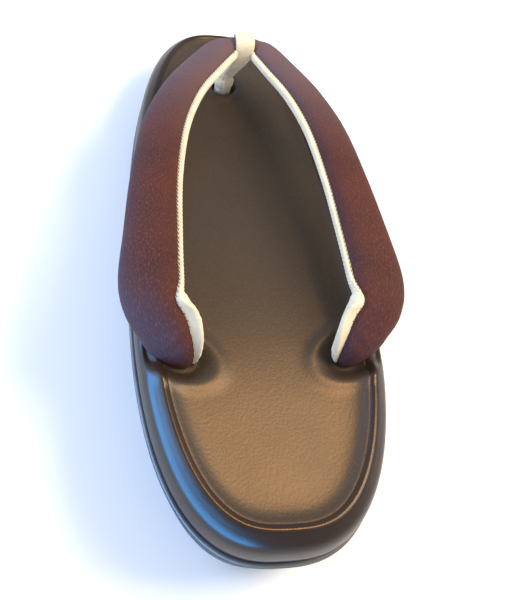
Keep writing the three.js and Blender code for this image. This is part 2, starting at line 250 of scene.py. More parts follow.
class ZoriStraps(bpy.types.PropertyGroup):
    """Sizes of the straps' sewing."""

    stitch_pitch: length("Stitch pitch", 1.7, "From one whip stitch to the next")
    thread: length("Thread", 0.3, "Thickness of the sewing thread")
    pucker: length("Pucker", 0.16, "How deep each stitch draws the crepe in")
    fill: FloatProperty(
        name="Fill", description="How tightly the pads are stuffed", default=0.8, min=0, max=1,
        subtype="FACTOR",
    )


class ZoriColours(bpy.types.PropertyGroup):
    """Colours of the materials."""

    rubber: colour("Rubber", "#161618", "Moulded foam outsole")
    rim: colour("Rim", "#281d16", "Smooth leatherette round the midsole")
    footbed: colour("Footbed", "#382a1b", "Pebbled leatherette under the foot")
    crepe: colour("Crepe", "#4d2017", "Straps")
    fibre: colour("Fibre", "#8f6557", "Pale yarns in the crepe")
    cotton: colour("Cotton", "#e4d8ba", "Strap lining and thong")
    thread: colour("Thread", "#3b2422", "Whip stitches")


# Shape formulas


def signed_power(value, power):
    """The value's size raised to a power, with its sign kept."""
    return np.sign(value) * np.abs(value) ** power


def smooth(t):
    """A soft step: 0 before 0, 1 after 1, and 3t^2 - 2t^3 between."""
    u = np.clip(t, 0, 1)
    return u * u * (3 - 2 * u)


def bell(distance, width):
    """A bell curve: e to the minus square of distance over width."""
    return np.exp(-((distance / width) ** 2))


def unit(vectors):
    """Vectors scaled to length 1."""
    return vectors / np.linalg.norm(vectors, axis=-1, keepdims=True)


def between(rows, t, closed=False):
    """A table's columns at row number t, on the uniform Catmull-Rom cubic through its rows."""
    count = len(rows)
    i = np.clip(np.floor(t).astype(int), 0, count - (1 if closed else 2))
    f = (t - i)[..., None]
    a, b, c, d = [
        rows[(i + k) % count] if closed else rows[np.clip(i + k, 0, count - 1)] for k in (-1, 0, 1, 2)
    ]
    return b + 0.5 * f * (c - a + f * (2 * a - 5 * b + 4 * c - d + f * (3 * (b - c) + d - a)))


def sampled(rows, steps):
    """A table refined to steps samples from each row to the next."""
    return between(rows, np.linspace(0, len(rows) - 1, (len(rows) - 1) * steps + 1))


def reach(sole, ahead):
    """Distance from the widest place to the toe, or to the heel where not ahead."""
    return np.where(ahead, sole.length / 2 - WIDEST_Y, sole.length / 2 + WIDEST_Y)


def outline(sole, angle, inset):
    """The point of the outline at an angle, moved inward square to the curve by inset. The outline is
    |x/a|^n + |y/b|^n = 1 about the widest place, with b longer before it than behind it."""
    c, s = np.cos(angle), np.sin(angle)
    a, b = sole.width / 2, reach(sole, s > 0)
    u, v = signed_power(c, 2 / ROUNDNESS), signed_power(s, 2 / ROUNDNESS)
    nx, ny = signed_power(u, ROUNDNESS - 1) / a, signed_power(v, ROUNDNESS - 1) / b
    size = np.hypot(nx, ny)
    return u * a - inset * nx / size, WIDEST_Y + v * b - inset * ny / size


def round_angles(sole):
    """Angles evenly spaced by distance, from the toe down the right side to the heel, then the same
    ones mirrored back up the left side."""
    dense = np.linspace(np.pi / 2, -np.pi / 2, 8001)
    x, y = outline(sole, dense, 0)
    run = np.concatenate([[0], np.cumsum(np.hypot(np.diff(x), np.diff(y)))])
    right = np.interp(np.linspace(0, run[-1], SIDE_STEPS + 1), run, dense)
    return np.concatenate([right, np.pi - right[-2:0:-1]])


def within(sole, x, y, inset):
    """How far out a place lies: 0 at the middle and 1 on the outline with its half axes shortened by
    inset, as the root of the outline's own sum of powers."""
    across = np.abs(x / (sole.width / 2 - inset)) ** ROUNDNESS
    lengthwise = np.abs((y - WIDEST_Y) / (reach(sole, y > WIDEST_Y) - inset)) ** ROUNDNESS
    return (across + lengthwise) ** (1 / ROUNDNESS)


def footbed(sole, y):
    """Height of the footbed's edge: a soft step from heel height down to ball height, less the square
    of the run past the toe drop's start."""
    toe = np.clip((y - TOE_DROP_START) / (sole.length / 2 - TOE_DROP_START), 0, None)
    slope = (sole.ball_height - sole.heel_height) * smooth((y - SLOPE_START) / SLOPE_RUN)
    return sole.heel_height + slope - TOE_DROP * toe**2


def underside(sole, y):
    """Height of the outsole's underside: squares of the run past the toe spring's and the heel lift's
    start, and a parabola under the arch."""
    toe = np.clip((y - SPRING_START) / (sole.length / 2 - SPRING_START), 0, None)
    heel = np.clip((HEEL_LIFT_START - y) / (sole.length / 2 + HEEL_LIFT_START), 0, None)
    arch = ARCH_RISE * (1 - ((y - ARCH_Y) / ARCH_HALF_RUN) ** 2)
    return GROUND + np.maximum(TOE_SPRING * toe**2 + HEEL_LIFT * heel**2, arch)


def grooves(sole, x, y):
    """Depth of the tread: transverse grooves at even pitch in two bands, inside the margin, with soft
    steps for walls."""
    depth = np.zeros_like(x)
    edge = (1 - within(sole, x, y, GROOVE_MARGIN)) * sole.width / 2
    for first, last in GROOVE_BANDS:
        nearest = first + np.clip(np.round((y - first) / sole.groove_pitch), 0, None) * sole.groove_pitch
        nearest = np.minimum(nearest, last)
        wall = (GROOVE_WIDTH / 2 + GROOVE_EDGE / 2 - np.abs(y - nearest)) / GROOVE_EDGE
        depth = np.maximum(depth, smooth(wall) * smooth(edge / GROOVE_EDGE))
    return GROOVE_DEPTH * depth


def mouth_distance(x, y):
    """How far out a place lies from the oval of the nearer strap end, in shares of its half axes and
    then times the short one, and 0 inside it."""
    dx, dy = np.abs(x) - MOUTH_X, y - MOUTH_Y
    long = (dx * np.cos(MOUTH_TURN) + dy * np.sin(MOUTH_TURN)) / MOUTH_HALF_LONG
    short = (dy * np.cos(MOUTH_TURN) - dx * np.sin(MOUTH_TURN)) / MOUTH_HALF_SHORT
    return np.clip(np.hypot(long, short) - 1, 0, None) * MOUTH_HALF_SHORT


def relief(sole, x, y):
    """Rise and fall of the leatherette: a dish that gets shallower as the cube of the way out, worn
    hollows as bells, a moat and a bank round each strap end as bells of the distance from it, and the
    thong's pit as a soft step with a bell for its bank."""
    dish = -sole.dish * (1 - np.minimum(within(sole, x, y, DISH_INSET), 1) ** 3)
    worn = sum(-depth * bell(np.hypot(x, y - middle), wide) for middle, depth, wide in WORN)
    off = mouth_distance(x, y)
    moat = BANK_HEIGHT * bell(off - BANK_OUT, BANK_REACH) - sole.mouth_depth * bell(off, MOAT_REACH)
    out = np.hypot(x, y - STEM_Y)
    pit = -PIT_DEPTH * smooth((PIT_RADIUS - out) / PIT_WALL)
    pit_bank = PIT_BANK_HEIGHT * bell(out - PIT_BANK_RADIUS, PIT_BANK_REACH)
    return dish + worn + moat + pit + pit_bank


def arm_frames(t):
    """Centre, across, outward and along directions, width and thickness of the right arm at row t.
    Outward comes from lean and swing and is made square to the way along."""
    rows = between(ARM, t)
    along = unit(between(ARM, t + NUDGE)[..., :3] - between(ARM, t - NUDGE)[..., :3])
    lean, swing = rows[..., 5], rows[..., 6]
    outward = np.stack([np.sin(lean) * np.cos(swing), -np.sin(lean) * np.sin(swing), np.cos(lean)], -1)
    outward = unit(outward - along * np.sum(outward * along, -1, keepdims=True))
    return rows[..., :3], np.cross(along, outward), outward, along, rows[..., 3], rows[..., 4]


def girth(t):
    """Share of its full girth that a strap has at row t: 1, less a square of the way into the taper."""
    end = np.clip((t - TAPER_START) / TAPER_RUN, 0, 1.5)
    return 1 - TAPER * end**2


def arm_surface(t, angle, height):
    """Points of the right arm at row t and an angle round its section, raised by height: a
    superellipse, flatter on its lined side, with height measured along its own normal."""
    centre, across, outward, along, width, thick = arm_frames(t)
    half = (width / 2 * girth(t))[..., None]
    s, c = np.sin(angle)[..., None], np.cos(angle)[..., None]
    depth = (thick / 2 * girth(t))[..., None] * np.where(c < 0, LINING_FLATNESS, 1)
    u, v = half * signed_power(s, 2 / PAD_EXPONENT), depth * signed_power(c, 2 / PAD_EXPONENT)
    power = 2 - 2 / PAD_EXPONENT
    normal = unit(across * signed_power(s, power) / half + outward * signed_power(c, power) / depth)
    return centre + across * u + outward * v + normal * height[..., None], normal, along


def arm_lengths(t):
    """Distance along the arm's middle line at each row number."""
    dense = np.linspace(0, len(ARM) - 1, 2001)
    middle = between(ARM, dense)[:, :3]
    run = np.concatenate([[0], np.cumsum(np.linalg.norm(np.diff(middle, axis=0), axis=1))])
    return np.interp(t, dense, run)


def rows_at(lengths):
    """Row number of the arm at each distance along its middle line."""
    dense = np.linspace(0, len(ARM) - 1, 2001)
    return np.interp(lengths, arm_lengths(dense), dense)


def folds(t, angle):
    """Depth of the crepe's folds: each is a trough that fades as a bell along and across its line."""
    depth = np.zeros(np.broadcast(t, angle).shape)
    s = arm_lengths(t)
    for row, turn_round, half_length, half_width, deep, turn in FOLDS:
        ds, dg = s - arm_lengths(row), (angle - turn_round) * PAD_RADIUS
        lengthwise = ds * np.cos(turn) + dg * np.sin(turn)
        crosswise = dg * np.cos(turn) - ds * np.sin(turn)
        depth += deep * bell(lengthwise, half_length) * bell(crosswise, half_width)
    return depth


def border(t):
    """Angle of the lining's inner border at row t, which turns up at the bend as a bell."""
    return BORDER - KINK * bell(t - KINK_ROW, KINK_RUN)


def stitch_wave(straps, t):
    """A cosine along the strap that is 1 at each stitch and 0 halfway to the next."""
    return 0.5 + 0.5 * np.cos(2 * np.pi * arm_lengths(t) / straps.stitch_pitch)


def pucker(straps, t, angle):
    """Draw of the stitches on the crepe: their wave, fading as a bell away from the border."""
    return straps.pucker * stitch_wave(straps, t) * bell((angle - border(t)) * PAD_RADIUS, PUCKER_REACH)


def lip_height(t):
    """How far the lining's lip stands out at row t, in straight lines between its table's rows."""
    return MM * np.interp(t, LIP_TABLE[:, 0], LIP_TABLE[:, 1])


# Mesh making


def closed_grid(rings, around):
    """Quads between neighbouring rings of points that each close on themselves."""
    at = np.arange(rings * around).reshape(rings, around)
    after = np.roll(at, -1, axis=1)
    return np.stack([at[:-1], after[:-1], after[1:], at[1:]], -1).reshape(-1, 4)


def tube(points):
    """Points and faces of a skin through rings, closed by a fan to the middle of each end ring."""
    rings, around = points.shape[:2]
    ends = points[[0, -1]].mean(axis=1)
    first = np.arange(around)
    last = first + (rings - 1) * around
    low, high = rings * around, rings * around + 1
    faces = closed_grid(rings, around).tolist()
    faces += np.stack([np.roll(first, -1), first, np.full(around, low)], -1).tolist()
    faces += np.stack([last, np.roll(last, -1), np.full(around, high)], -1).tolist()
    return np.concatenate([points.reshape(-1, 3), ends]), faces


def with_ends(values):
    """Values of a tube's points in order, with those of its two end middles after them."""
    return np.concatenate([values.ravel(), values[[0, -1]].mean(axis=1)])


def cloth(lengthwise, crosswise):
    """Place on its cloth of each of a tube's points, with those of its two end middles after them."""
    flat = np.stack(np.broadcast_arrays(lengthwise, crosswise, 0.0), -1).reshape(-1, 3)
    return np.concatenate([flat, flat[[0, -1]]])


def cap(ring, offset, columns, base, height, upward):
    """Fills a ring of the sole, whose points are numbered from offset, with rows that join mirrored
    points of its two sides in so many columns. Heights come from the height function. Returns the new
    points, numbered from base, and the faces."""
    side = np.arange(1, SIDE_STEPS)
    right, left = ring[side], ring[2 * SIDE_STEPS - side]
    share = (np.arange(1, columns) / columns)[None, :, None]
    new = right[:, None] * (1 - share) + left[:, None] * share
    new[..., 2] = height(new[..., 0], new[..., 1])
    inner = base + np.arange((SIDE_STEPS - 1) * (columns - 1)).reshape(SIDE_STEPS - 1, columns - 1)
    at = np.concatenate([offset + side[:, None], inner, offset + 2 * SIDE_STEPS - side[:, None]], 1)
    quads = np.stack([at[:-1, :-1], at[:-1, 1:], at[1:, 1:], at[1:, :-1]], -1).reshape(-1, 4)
    toe = np.stack([np.full(columns, offset), at[0, 1:], at[0, :-1]], -1)
    heel = np.stack([np.full(columns, offset + SIDE_STEPS), at[-1, :-1], at[-1, 1:]], -1)
    groups = [quads, toe, heel]
    return new.reshape(-1, 3), [f for g in groups for f in (g if upward else g[:, ::-1]).tolist()]


def sole_layer(sole, insets, heights, top, bottom, columns):
    """A closed layer of the sole: a profile carried round the outline, each level with its inset and a
    height function of place, filled at the top and the bottom in so many columns."""
    angles = round_angles(sole)
    x, y = outline(sole, angles[None, :], np.asarray(insets)[:, None])
    z = np.stack([height(x[k], y[k]) for k, height in enumerate(heights)])
    rings = np.stack([x, y, z], -1)
    count = rings.shape[0] * rings.shape[1]
    points, faces = [rings.reshape(-1, 3)], closed_grid(*rings.shape[:2]).tolist()
    new, more = cap(rings[0], 0, columns[0], count, top, True)
    points.append(new)
    faces += more
    new, more = cap(rings[-1], count - rings.shape[1], columns[1], count + len(new), bottom, False)
    points.append(new)
    return np.concatenate(points), faces + more


def add_piece(name, points, faces, material, **attributes):
    """Makes a smooth-shaded mesh object with its place in its mesh and named values on its points."""
    mesh = bpy.data.meshes.new(name)
    mesh.from_pydata(points, [], faces)
    mesh.polygons.foreach_set("use_smooth", np.ones(len(mesh.polygons), bool))
    for key, values in attributes.items():
        if values.ndim == 2:
            mesh.attributes.new(key, "FLOAT_VECTOR", "POINT").data.foreach_set(
                "vector", values.astype(np.float32).ravel()
            )
        else:
            mesh.attributes.new(key, "FLOAT", "POINT").data.foreach_set("value", values.astype(np.float32))
    mesh.materials.append(material)
    mesh.update()
    piece = bpy.data.objects.new(name, mesh)
    bpy.context.scene.collection.objects.link(piece)
    return piece


def place(piece, slot, *nodes):
    """Fixes a piece to the sandal's one body and hides the CAD nodes it stands for; slot is not used."""
    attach(piece, "root")
    if nodes:
        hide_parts(*nodes)
    return piece


def section_middles(t):
    """Place along the sandal of the middle line at the row of each of an arm tube's points."""
    return with_ends(between(ARM, t)[..., 1])


def swayed(points, middles):
    """Points moved to the right by the sway at their section's middle: a square of the run forward."""
    run = np.clip((middles - SWAY_START) / (SWAY_END - SWAY_START), 0, None)
    return points + (SWAY * run**2)[:, None] * np.array([1, 0, 0])


def arm_pair(name, points, faces, middles, material, slot, nodes=(), **attributes):
    """Both arms' copies of a skin made on the right arm: the left one is mirrored, with its faces
    still pointing out, and both sway to the right."""
    pieces = []
    for side in ("right", "left"):
        turned = points if side == "right" else points * np.array([-1, 1, 1])
        order = faces if side == "right" else [face[::-1] for face in faces]
        piece = add_piece(f"{name}_{side}", swayed(turned, middles), order, material, **attributes)
        pieces.append(place(piece, slot, *nodes))
    return pieces


# Materials


def add_node(tree, kind, inputs=None, **settings):
    """Adds a shader node. settings are its own properties. inputs gives each socket, by name or by
    number, its value or the output that feeds it."""
    node = tree.nodes.new("ShaderNode" + kind)
    for name, value in settings.items():
        setattr(node, name, value)
    for name, value in (inputs or {}).items():
        if isinstance(value, bpy.types.NodeSocket):
            tree.links.new(value, node.inputs[name])
        else:
            node.inputs[name].default_value = value
    return node


def blend(tree, factor, first, second):
    """The first colour where the factor is 0, turning into the second one where it is 1."""
    factor_in, first_in, second_in, mixed_out = 0, 6, 7, 2  # a Mix node's sockets when it mixes colours
    inputs = {factor_in: factor, first_in: first, second_in: second}
    return add_node(tree, "Mix", inputs, data_type="RGBA").outputs[mixed_out]


def per_metre(millimetres):
    """Scale of a pattern whose features are this many millimetres across."""
    return 1 / (millimetres * MM)


def noise(tree, where, millimetres, detail):
    """A cloudy pattern whose features are this many millimetres across."""
    inputs = {"Vector": where, "Scale": per_metre(millimetres), "Detail": detail}
    return add_node(tree, "TexNoise", inputs).outputs[0]


def bumps(tree, height, strength, millimetres):
    """The surface's direction, tilted as if the pattern stood this many millimetres high."""
    inputs = {"Height": height, "Strength": strength, "Distance": millimetres * MM}
    return add_node(tree, "Bump", inputs).outputs[0]


def new_material(name):
    """An empty material, with its node tree."""
    material = bpy.data.materials.new(name)
    material.use_nodes = True
    material.node_tree.nodes.clear()
    return material, material.node_tree


def finish_material(tree, inputs):
    """Ends a material with a Principled shader that has these inputs."""
    shader = add_node(tree, "BsdfPrincipled", inputs)
    add_node(tree, "OutputMaterial", {"Surface": shader.outputs[0]})


def foam_rubber(colours):
    """Moulded foam rubber: a soft black without a clear reflection, fine pores that break up the
    light, and a paler grey along the lip that is partly dust and partly a painted highlight."""
    material, tree = new_material("moulded foam rubber")
    place_at = add_node(tree, "TexCoord").outputs["Object"]
    pores = noise(tree, place_at, 0.9, 4)
    cloud = noise(tree, place_at, 14, 5)
    lip = add_node(tree, "Attribute", attribute_name="dust").outputs["Fac"]
    # paler along the lip: partly dust, partly a painted highlight where the lip's edge catches the light
    dusty = add_node(tree, "Math", {0: lip, 1: cloud}, operation="MULTIPLY")
    tone = blend(tree, dusty.outputs[0], colours.rubber, linear("#8a8178"))
    rough = add_node(tree, "MapRange", {"Value": cloud, "To Min": 0.42, "To Max": 0.62})
    bump = bumps(tree, pores, 0.5, 0.12)
    finish_material(tree, {
        "Base Color": tone, "Roughness": rough.outputs[0], "Normal": bump, "IOR": 1.5,
    })
    return material


def rim_leatherette(colours):
    """Calendered leatherette, stretched smooth over the roll: a satin skin that mirrors a window as a
    soft band, with a very fine grain and cloudy patches of more and less gloss."""
    material, tree = new_material("stretched satin leatherette")
    place_at = add_node(tree, "TexCoord").outputs["Object"]
    grain = add_node(tree, "TexVoronoi", {"Vector": place_at, "Scale": per_metre(0.8)})
    cloud = noise(tree, place_at, 22, 4)
    share = add_node(tree, "MapRange", {"Value": cloud, "From Min": 0.3, "From Max": 0.7})
    tone = blend(tree, share.outputs[0], colours.rim, linear("#33261e"))
    rough = add_node(tree, "MapRange", {"Value": cloud, "To Min": 0.24, "To Max": 0.36})
    bump = bumps(tree, grain.outputs[0], 0.12, 0.1)
    finish_material(tree, {
        "Base Color": tone, "Roughness": rough.outputs[0], "Normal": bump,
        "IOR": 1.5, "Specular IOR Level": 0.26,
    })
    return material


def footbed_leatherette(colours):
    """Embossed leatherette: pebbles a little under a millimetre across with pale flecks, painted
    shade in the crease and round the straps and the thong, and a soft gloss that spreads the light."""
    material, tree = new_material("embossed pebble leatherette")
    place_at = add_node(tree, "TexCoord").outputs["Object"]
    warp = noise(tree, place_at, 1.3, 3)
    pebble = add_node(
        tree, "TexVoronoi", {"Vector": place_at, "Scale": per_metre(0.8)}, feature="SMOOTH_F1"
    )
    speck = noise(tree, place_at, 0.6, 2)
    cloud = noise(tree, place_at, 30, 5)
    height = add_node(tree, "Math", {0: warp, 1: pebble.outputs[0]}, operation="SUBTRACT")
    share = add_node(tree, "MapRange", {"Value": cloud, "From Min": 0.3, "From Max": 0.7})
    broad = blend(tree, share.outputs[0], colours.footbed, linear("#2e2317"))
    fleck = add_node(tree, "MapRange", {
        "Value": speck, "From Min": 0.5, "From Max": 0.8, "To Max": 0.22,
    })
    tone = blend(tree, fleck.outputs[0], broad, linear("#6e5a41"))
    # painted shade: darker in the crease and round the strap ends and the thong
    dirt = add_node(tree, "Attribute", attribute_name="dirt").outputs["Fac"]
    dirty = blend(tree, dirt, tone, linear("#1f1712"))
    rough = add_node(tree, "MapRange", {"Value": cloud, "To Min": 0.38, "To Max": 0.5})
    bump = bumps(tree, height.outputs[0], 0.4, 0.08)
    finish_material(tree, {
        "Base Color": dirty, "Roughness": rough.outputs[0], "Normal": bump,
        "IOR": 1.5, "Specular IOR Level": 0.45,
    })
    return material


def woven_crepe(colours):
    """Crepe of overtwisted yarn: a dull crinkled cloth with short ribs and pale fibres along the
    strap, and a painted greyish sheen towards the front."""
    material, tree = new_material("woven crepe")
    surface = add_node(tree, "Attribute", attribute_name="surface").outputs["Vector"]
    streaky = add_node(tree, "Mapping", {"Vector": surface, "Scale": (0.3, 1.0, 1.0)})
    streak = noise(tree, streaky.outputs[0], 0.34, 2)
    ribbed = add_node(tree, "Mapping", {"Vector": surface, "Scale": (0.35, 1.0, 1.0)})
    rib = add_node(tree, "TexVoronoi", {"Vector": ribbed.outputs[0], "Scale": per_metre(0.7)})
    cloud = noise(tree, surface, 16, 4)
    share = add_node(tree, "MapRange", {"Value": cloud, "From Min": 0.3, "From Max": 0.7})
    broad = blend(tree, share.outputs[0], colours.crepe, linear("#3a1815"))
    # painted sheen: greyer towards the front of the strap, for the cool light on its upper faces
    run = add_node(tree, "SeparateXYZ", {0: surface}).outputs[0]
    front = add_node(tree, "MapRange", {
        "Value": run, "From Min": 95 * MM, "From Max": 8 * MM, "To Max": 0.34,
    }, interpolation_type="SMOOTHSTEP")
    front_sheen = blend(tree, front.outputs[0], broad, linear("#84777c"))
    fibres = add_node(tree, "MapRange", {
        "Value": streak, "From Min": 0.5, "From Max": 0.78, "To Max": 0.3,
    })
    tone = blend(tree, fibres.outputs[0], front_sheen, colours.fibre)
    bump = bumps(tree, rib.outputs[0], 0.6, 0.2)
    finish_material(tree, {
        "Base Color": tone, "Roughness": 0.82, "Normal": bump,
        "Specular IOR Level": 0.25, "Sheen Weight": 0.08, "Sheen Roughness": 0.4,
        "Sheen Tint": linear("#a9a0b4"),
    })
    return material


def brushed_cotton(colours, name, crosswise):
    """Brushed cotton: a dull cream cloth with a short nap that softens its shading, and faint ribs of
    its weave, which are longer where crosswise is less."""
    material, tree = new_material(name)
    surface = add_node(tree, "Attribute", attribute_name="surface").outputs["Vector"]
    ribbed = add_node(tree, "Mapping", {"Vector": surface, "Scale": crosswise})
    rib = noise(tree, ribbed.outputs[0], 0.7, 3)
    nap = noise(tree, surface, 5, 6)
    share = add_node(tree, "MapRange", {"Value": nap, "From Min": 0.35, "From Max": 0.75})
    tone = blend(tree, share.outputs[0], colours.cotton, linear("#d8c7a0"))
    bump = bumps(tree, rib, 0.5, 0.25)
    finish_material(tree, {
        "Base Color": tone, "Roughness": 0.9, "Normal": bump,
        "Sheen Weight": 0.25, "Sheen Roughness": 0.5,
        "Subsurface Weight": 0.1, "Subsurface Scale": 0.6 * MM,
    })
    return material


def sewing_thread(colours):
    """Spun polyester thread: dark, with the faint gloss of its twist."""
    material, tree = new_material("spun sewing thread")
    place_at = add_node(tree, "TexCoord").outputs["Object"]
    twist = noise(tree, place_at, 0.3, 2)
    tone = blend(tree, twist, colours.thread, linear("#5a3a36"))
    bump = bumps(tree, twist, 0.4, 0.05)
    finish_material(tree, {
        "Base Color": tone, "Roughness": 0.6, "Normal": bump,
    })
    return material


# Operators


class ZORI_OT_outsole(bpy.types.Operator):
    """Build the foam outsole with its lip, undercut wall and grooved tread"""

    bl_idname = "zori.outsole"
    bl_label = "Outsole"

    def execute(self, context):
        sole = context.scene.zori_sole
        lip, wall = sampled(LIP_PROFILE, 3), sampled(WALL_PROFILE, 3)

        def top(x, y):
            return footbed(sole, y) - MIDSOLE_THICK - JOIN_GAP

        def foot(x, y):
            return underside(sole, y)

        def tread(x, y):
            return foot(x, y) + grooves(sole, x, y)

        lip_depth = LIP_PROFILE[-1, 1]
        heights = [lambda x, y, drop=drop: top(x, y) - drop for drop in lip[:, 1]]
        heights += [
            lambda x, y, share=share: foot(x, y) + share * (top(x, y) - lip_depth - foot(x, y))
            for share in wall[:, 1]
        ]
        insets = np.concatenate([lip[:, 0], wall[:, 0]])
        points, faces = sole_layer(sole, insets, heights, top, tread, (8, 64))
        below = footbed(sole, points[:, 1]) - MIDSOLE_THICK - points[:, 2]
        out = within(sole, points[:, 0], points[:, 1], 0)
        # dust and painted highlight: a paler band along the top of the lip
        lip_middle = 0.5 * MM
        dust = bell(below - lip_middle, lip_middle) * smooth((out - 0.99) / 0.02)
        material = foam_rubber(context.scene.zori_colours)
        place(add_piece("outsole_cover", points, faces, material, dust=dust), "rubber", "outsole")
        return {"FINISHED"}


class ZORI_OT_midsole(bpy.types.Operator):
    """Build the midsole's cover: the crease, the rolled rim and the outer wall"""

    bl_idname = "zori.midsole"
    bl_label = "Midsole cover"

    def execute(self, context):
        sole = context.scene.zori_sole
        profile = sampled(RIM_PROFILE, 5)
        fade = smooth(profile[:, 0] / (3.5 * MM))
        heights = [
            lambda x, y, rise=rise, share=share: footbed(sole, y) + rise + share * relief(sole, x, y)
            for rise, share in zip(profile[:, 1], fade)
        ]

        def inner(x, y):
            return footbed(sole, y) + profile[0, 1] + relief(sole, x, y)

        def bottom(x, y):
            return footbed(sole, y) + profile[-1, 1]

        points, faces = sole_layer(sole, profile[:, 0], heights, inner, bottom, (24, 8))
        material = rim_leatherette(context.scene.zori_colours)
        place(add_piece("midsole_cover", points, faces, material), "rim_leather", "midsole")
        return {"FINISHED"}


class ZORI_OT_insole(bpy.types.Operator):
    """Build the dished footbed with the hollows round the strap ends and the thong"""

    bl_idname = "zori.insole"
    bl_label = "Footbed"

    def execute(self, context):
        sole = context.scene.zori_sole
        profile = sampled(INSOLE_PROFILE, 4)
        heights = [
            lambda x, y, rise=rise: footbed(sole, y) + rise + relief(sole, x, y) for rise in profile[:, 1]
        ]

        def top(x, y):
            return footbed(sole, y) + profile[0, 1] + relief(sole, x, y)

        def bottom(x, y):
            return footbed(sole, y) + profile[-1, 1] + relief(sole, x, y)

        points, faces = sole_layer(sole, profile[:, 0], heights, top, bottom, (120, 24))
        out = within(sole, points[:, 0], points[:, 1], DISH_INSET)
        mouth = mouth_distance(points[:, 0], points[:, 1])
        stem = np.hypot(points[:, 0], points[:, 1] - STEM_Y)
        # painted shade where shade falls: the crease, the strap ends and the thong
        dirt = 0.3 * smooth((out - 0.985) / 0.02)  # painted shade, a little in the crease
        dirt = dirt + 0.8 * bell(mouth, 2 * MM) + 0.8 * bell(stem, 6 * MM)  # more painted shade round straps and thong
        dirt = np.clip(dirt, 0, 0.9)
        material = footbed_leatherette(context.scene.zori_colours)
        place(add_piece("footbed_cover", points, faces, material, dirt=dirt), "footbed_leather", "insole")
        return {"FINISHED"}


class ZORI_OT_straps(bpy.types.Operator):
    """Build the two padded crepe arms of the straps"""

    bl_idname = "zori.straps"
    bl_label = "Strap pads"

    def execute(self, context):
        straps = context.scene.zori_straps
        material = woven_crepe(context.scene.zori_colours)
        run = arm_lengths(len(ARM) - 1.0)
        t = rows_at(np.linspace(0, run, ARM_STEPS + 1))[:, None]
        angle = np.linspace(-np.pi, np.pi, PAD_SIDES, endpoint=False)[None, :]
        t, angle = np.broadcast_arrays(t, angle)
        height = -folds(t, angle) - pucker(straps, t, angle)
        points, faces = tube(arm_surface(t, angle, height)[0])
        pads = arm_pair(
            "strap_pad", points, faces, section_middles(t), material, "strap_crepe", ("straps",),
            surface=cloth(arm_lengths(t), angle * PAD_RADIUS),
        )
        return {"FINISHED"}


def lining_points(straps, t, share):
    """Points of the lining at row t and a share of the way round its section, from the inner border.
    The lip follows its table, less the stitches' wave, and the part of it past LEAF is the leaf."""
    section = between(LINING_SECTION, share * (len(LINING_SECTION) - 1))
    lip = lip_height(t)
    lip = lip - LIP_DRAW * stitch_wave(straps, t) * np.minimum(1, LIP_HELD / lip)
    turn = (border(t) - BORDER) * np.clip(1 - (section[..., 0] - BORDER) / KINK_FADE, 0, 1)
    stand = np.minimum(lip, LEAF) * section[..., 2] + np.clip(lip - LEAF, 0, None) * section[..., 3]
    return arm_surface(t, section[..., 0] + turn, section[..., 1] + stand)[0]


class ZORI_OT_lining(bpy.types.Operator):
    """Build the cream lining under each arm, with the lip that shows along the inner edge"""

    bl_idname = "zori.lining"
    bl_label = "Strap lining"

    def execute(self, context):
        straps = context.scene.zori_straps
        material = brushed_cotton(context.scene.zori_colours, "brushed cotton lining", (0.5, 1.0, 1.0))
        t = rows_at(np.linspace(LINING_START, arm_lengths(LINING_END_ROW), ARM_STEPS + 1))[:, None]
        share = np.linspace(0, 1, 45)[None, :]
        t, share = np.broadcast_arrays(t, share)
        skin = lining_points(straps, t, share)
        first, last = LINING_SECTION[[0, -1], 0]
        back = arm_surface(t, last + (first - last) * share, np.full(t.shape, -LINING_BACK))[0]
        points, faces = tube(np.concatenate([skin, back[:, 1:-1]], axis=1))
        across = np.concatenate([share, 1 + share[:, 1:-1]], axis=1) * LINING_WIDTH
        rows = np.broadcast_to(t[:, :1], across.shape)
        arm_pair(
            "strap_lining", points, faces, section_middles(rows), material, "cream_cord",
            surface=cloth(arm_lengths(rows), across),
        )
        return {"FINISHED"}


class ZORI_OT_stitches(bpy.types.Operator):
    """Build the whip stitches that hold the lining to the crepe along the inner edge"""

    bl_idname = "zori.stitches"
    bl_label = "Whip stitches"

    def execute(self, context):
        straps = context.scene.zori_straps
        material = sewing_thread(context.scene.zori_colours)
        first = np.ceil(arm_lengths(STITCH_FIRST_ROW) / straps.stitch_pitch)
        last = np.floor(arm_lengths(STITCH_LAST_ROW) / straps.stitch_pitch)
        at = np.arange(first, last)[:, None, None] * straps.stitch_pitch
        way = np.linspace(0, 1, 6)[None, :, None]
        turn = np.linspace(0, 2 * np.pi, 5, endpoint=False)[None, None, :]
        t = rows_at(at + (way - 0.5) * STITCH_SLANT * straps.stitch_pitch)
        angle = border(t) - STITCH_SHORT - STITCH_REACH * (1 - way)
        climb = STITCH_CLIMB * np.minimum(lip_height(t), LIP_HELD) * way**2
        height = STITCH_LIFT + climb + STITCH_ARCH * np.sin(np.pi * way)
        centre, normal, along = arm_surface(t, angle, height)
        radius = straps.thread / 2 * np.sqrt(np.clip(1 - (2 * way - 1) ** 6, 0.05, 1))[..., None]
        ring = centre + radius * (np.cos(turn)[..., None] * normal + np.sin(turn)[..., None] * along)
        built = [tube(one) for one in ring]
        count = len(built[0][0])
        points = np.concatenate([p for p, _ in built])
        faces = [[v + k * count for v in face] for k, (_, group) in enumerate(built) for face in group]
        middles = np.concatenate([section_middles(one) for one in t + 0 * turn])
        arm_pair("whip_stitches", points, faces, middles, material, "strap_crepe")
        return {"FINISHED"}


